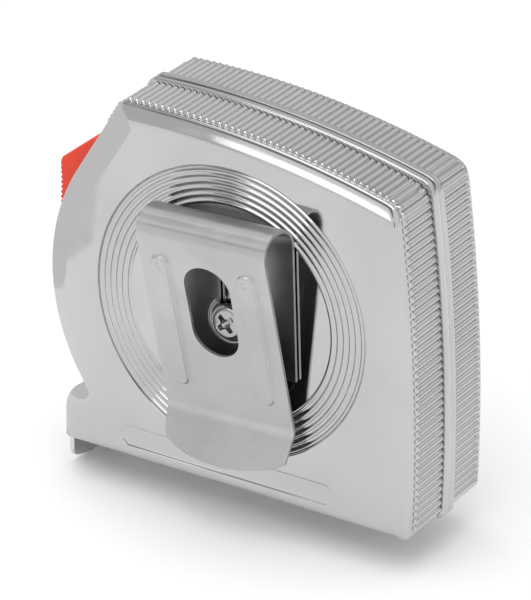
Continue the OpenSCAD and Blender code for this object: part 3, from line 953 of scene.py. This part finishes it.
def make_button():
    """The thumb button: a serrated slope and face, the curved foot on the nose and two guide blocks."""
    tip = np.array([-34.45, 45.2])
    root = np.array([-25.95, 51.95])
    down = np.array([-33.9, 33.5])
    b = Builder()
    prof = [tuple(root)]
    d = tip - root
    length = np.linalg.norm(d)
    d /= length
    nrm = np.array([d[1], -d[0]])
    grip = 0.85
    count = 9
    first = length - 0.35 - grip * count
    for i in range(count):
        s = first + i * grip
        for k, h in ((0.0, 0.0), (0.28, 0.0), (0.36, 0.05), (0.5, 0.17), (0.64, 0.17), (0.78, 0.05)):
            prof.append(tuple(root + d * (s + k) + nrm * h))
    prof.append(tuple(tip - d * 0.25))
    prof.append(tuple(tip + np.array([0.06, -0.12])))
    for i in range(12):
        z = tip[1] - 0.35 - i * grip
        for k, h in ((0.0, 0.0), (0.25, 0.0), (0.36, 0.08), (0.5, 0.26), (0.64, 0.26), (0.76, 0.08)):
            prof.append((tip[0] + h, z - k))
    prof.append(tuple(down))
    prof += [tuple(p) for p in arc(AXIS, NOSE_R + 0.45, 184, 147, 30)]
    prof.append((-26.35, 51.0))
    prof = [p for i, p in enumerate(prof) if math.dist(p, prof[i - 1]) > 1e-3]
    half = 5.5
    centre = np.mean(prof, axis=0)
    loops = []
    for y, k in ((-half, 0.22), (-half + 0.06, 0.1), (-half + 0.2, 0.0),
                 (half - 0.2, 0.0), (half - 0.06, 0.1), (half, 0.22)):
        ring = []
        for p in prof:
            v = np.array(p) - centre
            q = centre + v * (1 - k / max(2.0, np.linalg.norm(v)))
            ring.append(b.at((q[0], y, q[1])))
        loops.append(ring)
    b.tube(loops)
    b.cover(loops[0])
    b.cover(loops[-1])

    def block(r0, r1, a0, a1, half_w):
        outer, inner = arc(AXIS, r1, a0, a1, 40), arc(AXIS, r0, a0, a1, 40)
        rims = []
        for y in (-half_w, half_w):
            rims.append([b.at((p[0], y, p[1])) for p in [*outer, *inner[::-1]]])
        b.strip(rims[0], rims[1], closed=True)
        for ring in rims:
            b.ladder(ring)

    block(NOSE_R - 2.1, NOSE_R + 0.44, 153, 173, 4.0)
    block(NOSE_R - 3.7, NOSE_R - 2.11, 143, 184, 6.0)
    o = b.build("thumb_lock", [orange], "lock", "lock_orange", sharp=32.0)
    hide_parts("lock_button")


make_button()

# ---------------------------------------------------------------- blade, numbers and hook

CURVE, BLADE_Z = 14.0, 3.9
blade_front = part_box("blade")[0].x / MM


def blade_surface(y, lift):
    """Height of the blade's hollow upper face at y, plus lift along its normal."""
    r = CURVE - 0.1 - lift
    return BLADE_Z + CURVE - math.sqrt(max(0.0, r * r - y * y))


def hollow(b, x, ys, base, radii):
    """A ring across a hollow strip at x, over its upper face and back under it; ys is taken at base."""
    angles = [math.asin(y / base) for y in ys]
    upper, lower = [[b.at((x, r * math.sin(a), BLADE_Z + CURVE - r * math.cos(a))) for a in angles]
                    for r in radii]
    return upper + lower[::-1]


def make_blade():
    """The blade's free end, a thin hollow strip. The rivets fill its holes: it is whole under the heads."""
    b = Builder()
    x0, x1 = blade_front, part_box("blade")[1].x / MM
    ys = np.linspace(-8.0, 8.0, 41)
    places = [x0, x0 + 0.1, *np.arange(x0 + 1, x1 - 0.5, 1.0), x1 - 0.1, x1]
    rings = [hollow(b, x, ys, CURVE, (CURVE - 0.1, CURVE + 0.1)) for x in places]
    b.tube(rings)
    b.ladder(rings[0])
    b.ladder(rings[-1])
    o = b.build("blade_free_end", [blade_material("blade_marked", x0, True)], "blade", "blade_yellow")
    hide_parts("blade")


def make_numbers():
    """Plain centimetre numbers printed on the blade, laid on its hollow face."""
    ink = plastic("blade_ink", (0.012, 0.012, 0.012), (0.4, 0.5), cloud=0.2)
    verts, faces = [], []
    for value in range(1, 6):
        curve = bpy.data.curves.new("figure", "FONT")
        curve.body = str(value)
        curve.size = 5.2
        curve.align_x = curve.align_y = "CENTER"
        curve.resolution_u = 6
        o = added("figure", curve)
        bpy.context.view_layer.update()
        mesh = bpy.data.meshes.new_from_object(o.evaluated_get(bpy.context.evaluated_depsgraph_get()))
        bm = bmesh.new()
        bm.from_mesh(mesh)
        bmesh.ops.triangulate(bm, faces=bm.faces)
        bmesh.ops.subdivide_edges(bm, edges=[e for e in bm.edges if e.calc_length() > 0.5], cuts=2)
        bmesh.ops.triangulate(bm, faces=bm.faces)
        first = len(verts)
        bm.verts.ensure_lookup_table()
        xc = blade_front + 10.0 * value
        for v in bm.verts:
            x, y = xc - v.co.y, v.co.x
            verts.append((x * MM, y * MM, (blade_surface(y, 0.012)) * MM))
        faces += [[first + v.index for v in f.verts] for f in bm.faces]
        bm.free()
        bpy.data.objects.remove(o)
        bpy.data.curves.remove(curve)
        bpy.data.meshes.remove(mesh)
    mesh = bpy.data.meshes.new("blade_numbers")
    mesh.from_pydata(verts, [], faces)
    mesh.materials.append(ink)
    o = added("blade_numbers", mesh)
    mod = o.modifiers.new("film", "SOLIDIFY")
    mod.thickness = 0.01 * MM
    mod.offset = 0
    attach(o, "blade")


def make_hook():
    """The end hook: a lip with a rounded foot, and a tongue that follows the blade's hollow."""
    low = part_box("end_hook")[0]
    lip_out, lip_in = low.x / MM, low.x / MM + 0.8
    foot = low.z / MM
    b = Builder()
    n = 36
    half, corner, sweep = 7.0, 1.5, 18.0
    ys = half * np.sin(np.linspace(-math.pi / 2, math.pi / 2, n + 1))
    t = 0.8

    def under(y):
        r = CURVE + 0.1
        return BLADE_Z + CURVE - math.sqrt(r * r - y * y)

    def foot_z(y):
        reach = half - corner
        centre = foot + sweep - math.sqrt((sweep - corner) ** 2 - reach**2)
        if abs(y) < reach * sweep / (sweep - corner):
            return foot + sweep - math.sqrt(sweep**2 - y * y)
        return centre - math.sqrt(max(0.0, corner**2 - (abs(y) - reach) ** 2))

    front, rear = [], []
    levels = [0.0, 0.04, 0.12, 0.3, 0.5, 0.7, 0.88, 0.96, 1.0]
    for k in levels:
        f_row, r_row = [], []
        for y in ys:
            top = under(y) + 0.2
            z = foot_z(y) + (top - foot_z(y)) * k
            soft = 0.12 if k == 0.0 else 0.0
            f_row.append(b.at((lip_out + soft, y, z)))
            r_row.append(b.at((lip_in - soft, y, z)))
        front.append(f_row)
        rear.append(r_row)
    for grid in (front, rear):
        for a, c in zip(grid, grid[1:]):
            b.strip(a, c)
    b.strip(front[0], rear[0])
    b.strip(front[-1], rear[-1])
    for side in (0, -1):
        for a in range(len(levels) - 1):
            b.face([front[a][side], front[a + 1][side], rear[a + 1][side], rear[a][side]])
    tongue_half, face = 6.5, CURVE + 0.15
    xs = [lip_in - 0.3, lip_in + 0.3, lip_in + 1.0, -28, -26, -24, -22, -21, -20.6, -20.5]
    rings = []
    for i, x in enumerate(xs):
        w = tongue_half if i < len(xs) - 3 else tongue_half - (0.25, 0.6, 1.3)[i - len(xs) + 3]
        rings.append(hollow(b, x, np.linspace(-w, w, n + 1), face, (face, face + t)))
    b.tube(rings)
    b.ladder(rings[0])
    b.ladder(rings[-1])
    o = b.build("end_hook_steel", [hook_steel], "hook", "hook_steel", sharp=40.0)
    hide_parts("end_hook")


make_blade()
make_numbers()
make_hook()

# ---------------------------------------------------------------- label and inner pieces


def make_label():
    """The thin printed disc on the label side."""
    low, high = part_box("label_disc")
    c = ((low.x + high.x) / 2 / MM, (low.z + high.z) / 2 / MM)
    r = (high.x - low.x) / 2 / MM
    b = Builder()
    back, face = low.y / MM, high.y / MM
    steps = ((r - 0.02, back), (r, back + 0.03), (r, face - 0.06), (r - 0.06, face),
             (r - 0.3, face), (r * 0.8, face), (r * 0.5, face), (r * 0.2, face))
    rings = [[b.at((p[0], y, p[1])) for p in circle(c, rr, 144)] for rr, y in steps]
    b.face(rings[0][::-1])
    b.cup(rings)
    o = b.build("label", [label_material(c, r)], "case", "label_white")
    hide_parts("label_disc")


make_label()

for node, mat in {
    "mouth_plate": plate_steel,
    "centre_post": post_brass,
    "post_screw": screw_steel,
    "thrust_washers": nylon,
    "spool_drum": spool_plastic,
    "spool_cover": cover_plastic,
    "power_spring": spring_steel,
    "blade_coil": blade_material("blade_wound", 0.0, False),
    "hook_rivets": rivet_brass,
    "brake_arm": arm_plastic,
    "brake_pad": rubber,
}.items():
    show(node, mat)
soften("hook_rivets", 0.12, 3)
soften("brake_pad", 0.15)
soften("brake_arm", 0.15)

# ---------------------------------------------------------------- floor, surroundings and light


def flat_emitter(name, strength):
    """Plain white light from a surface."""
    m = bpy.data.materials.new(name)
    m.use_nodes = True
    tree = m.node_tree
    tree.nodes.clear()
    out = tree.nodes.new("ShaderNodeOutputMaterial")
    e = tree.nodes.new("ShaderNodeEmission")
    e.inputs["Color"].default_value = (1.0, 1.0, 1.0, 1.0)
    e.inputs["Strength"].default_value = strength
    tree.links.new(e.outputs[0], out.inputs["Surface"])
    return m


def sheet(name, n, size, z, mat):
    """A level rectangle of n by n faces at height z."""
    w, h = size[0] / 2, size[1] / 2
    verts = [(-w + 2 * w * i / n, -h + 2 * h * j / n, z) for j in range(n + 1) for i in range(n + 1)]
    starts = [j * (n + 1) + i for j in range(n) for i in range(n)]
    faces = [[k, k + 1, k + n + 2, k + n + 1] for k in starts]
    mesh = bpy.data.meshes.new(name)
    mesh.from_pydata(verts, [], faces)
    mesh.materials.append(mat)
    return added(name, mesh)


def make_floor():
    """A pale floor under the object's lowest point."""
    m = Nodes("floor_pale")
    m.set(
        Base_Color=m.mix(m.span(m.noise(6.0, 2.0), 0.0, 1.0), grey(0.90), grey(0.92)),
        Roughness=m.span(m.noise(40.0, 2.0), 0.75, 0.85),
        Normal=m.bump(m.noise(300.0, 2.0), 0.00002),
    )
    sheet("floor", 24, (6.0, 6.0), cad_low.z, m.mat)


def facing(o, azimuth, elevation, distance):
    """Puts a card or a light in a direction from the object's middle, facing it."""
    centre = Vector((0, 0, 0.03))
    o.location = centre + look_dir(azimuth, elevation) * distance
    o.rotation_mode = "QUATERNION"
    o.rotation_quaternion = (o.location - centre).to_track_quat("Z", "Y")


def card(name, azimuth, elevation, distance, size, strength):
    """A flat card that faces the object, seen only in reflections and as light."""
    o = sheet(name, 6, size, 0.0, flat_emitter(name, strength))
    facing(o, azimuth, elevation, distance)
    o.visible_camera = False
    o.visible_shadow = False


def area(name, azimuth, elevation, distance, size, power):
    """A rectangular soft light that faces the object."""
    data = bpy.data.lights.new(name, "AREA")
    data.shape = "RECTANGLE"
    data.size, data.size_y = size
    data.energy = power
    facing(added(name, data), azimuth, elevation, distance)


def make_world():
    """White surroundings, a little brighter in front than behind."""
    world = bpy.data.worlds.new("studio")
    scene.world = world
    world.use_nodes = True
    tree = world.node_tree
    tree.nodes.clear()
    out = tree.nodes.new("ShaderNodeOutputWorld")
    bg = tree.nodes.new("ShaderNodeBackground")
    coord = tree.nodes.new("ShaderNodeTexCoord")
    sep = tree.nodes.new("ShaderNodeSeparateXYZ")
    ramp = tree.nodes.new("ShaderNodeMapRange")
    ramp.interpolation_type = "SMOOTHSTEP"
    ramp.inputs["From Min"].default_value = -0.6
    ramp.inputs["From Max"].default_value = 0.7
    ramp.inputs["To Min"].default_value = 1.05
    ramp.inputs["To Max"].default_value = 0.72
    tree.links.new(coord.outputs["Generated"], sep.inputs[0])
    tree.links.new(sep.outputs["Y"], ramp.inputs["Value"])
    tree.links.new(ramp.outputs["Result"], bg.inputs["Strength"])
    bg.inputs["Color"].default_value = (1, 1, 1, 1)
    tree.links.new(bg.outputs[0], out.inputs["Surface"])


make_floor()
make_world()
card("front_softbox", -21.5, 6.5, 1.2, (0.22, 0.15), 2.3)
card("upper_flag", -24.0, 22.0, 1.25, (1.0, 0.36), 0.3)
card("fold_flag", -37.5, 6.0, 1.22, (0.50, 0.36), 0.7)
card("left_flag", -77.0, -3.0, 0.094, (0.13, 0.10), 0.92)
card("hood_flag", -65.0, 54.0, 1.15, (0.85, 0.5), 0.3)
card("dark_flag", 2.0, 4.0, 1.25, (0.20, 0.30), 0.12)
card("rim_card", 158.0, 33.0, 1.2, (0.8, 0.4), 0.98)
card("back_flag", 186.0, 7.0, 1.2, (1.7, 0.24), 0.16)
area("top_light", -10.0, 74.0, 1.3, (1.5, 1.5), 10.5)

scene.view_settings.view_transform = "Standard"
scene.view_settings.look = "None"
scene.cycles.use_denoising = True
